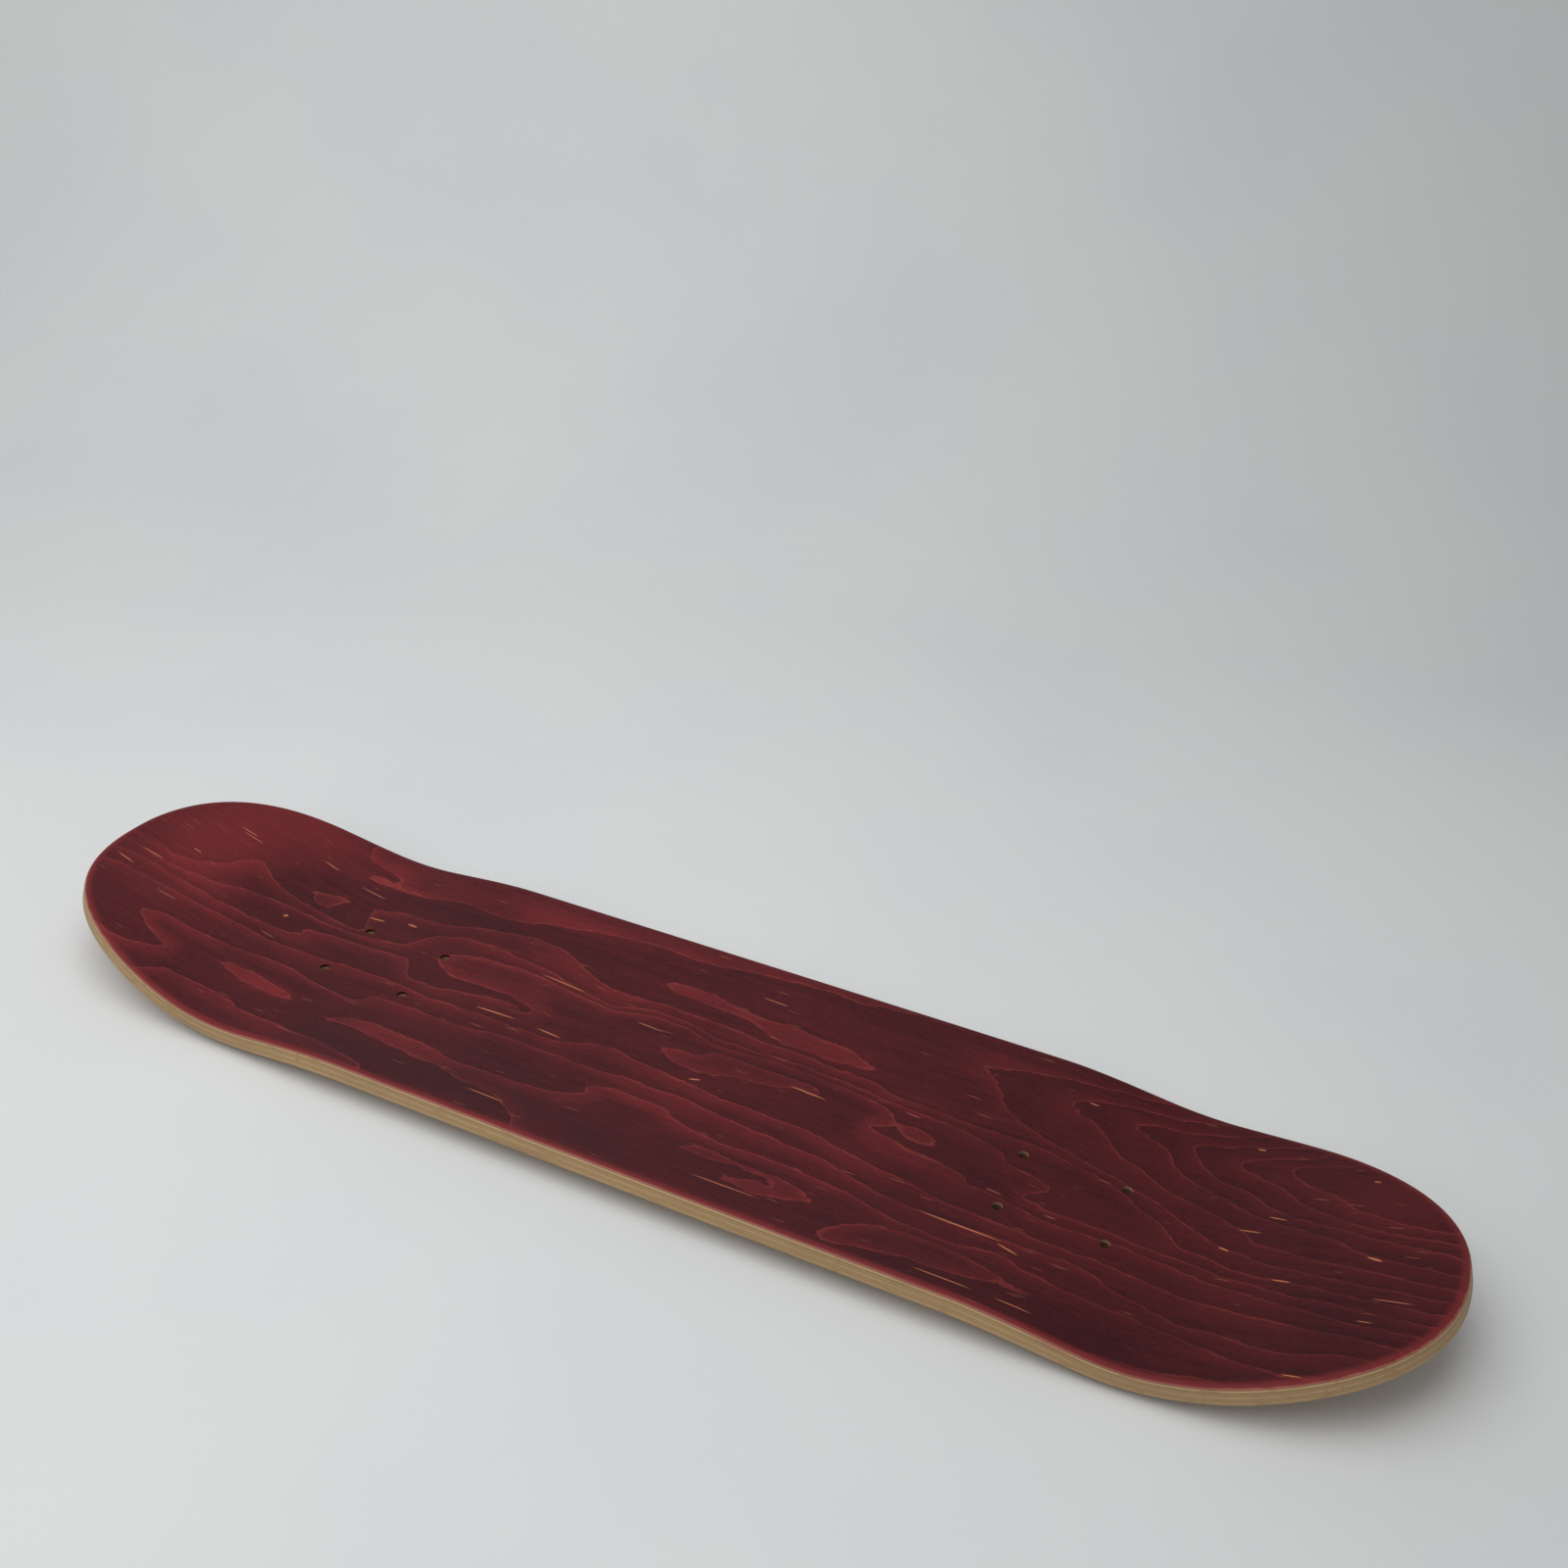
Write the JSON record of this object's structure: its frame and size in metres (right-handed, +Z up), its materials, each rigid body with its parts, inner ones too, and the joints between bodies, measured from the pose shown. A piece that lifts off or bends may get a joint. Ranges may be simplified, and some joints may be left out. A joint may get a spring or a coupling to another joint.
{
  "type": "skateboard deck",
  "caption": "Bare popsicle skateboard deck of pressed maple veneers, red top face, both ends kicked up, shallow concave, two truck bolt patterns.",
  "frame": {"origin": "on the flat middle of the underside, midway between the two truck bolt patterns", "axes": "+X along the deck towards the tail, +Y across it, +Z up through the top face"},
  "size_m": [0.7828, 0.1934, 0.0474],
  "materials": {
    "red_stained_maple": "satin",
    "long_grain_maple": "satin",
    "cross_grain_maple": "satin"
  },
  "bodies": {
    "root": {"top_face_ply": "red_stained_maple", "upper_long_ply": "long_grain_maple", "upper_cross_ply": "cross_grain_maple", "core_ply": "long_grain_maple", "lower_cross_ply": "cross_grain_maple", "lower_long_ply": "long_grain_maple", "bottom_face_ply": "long_grain_maple"}
  },
  "joints": []
}
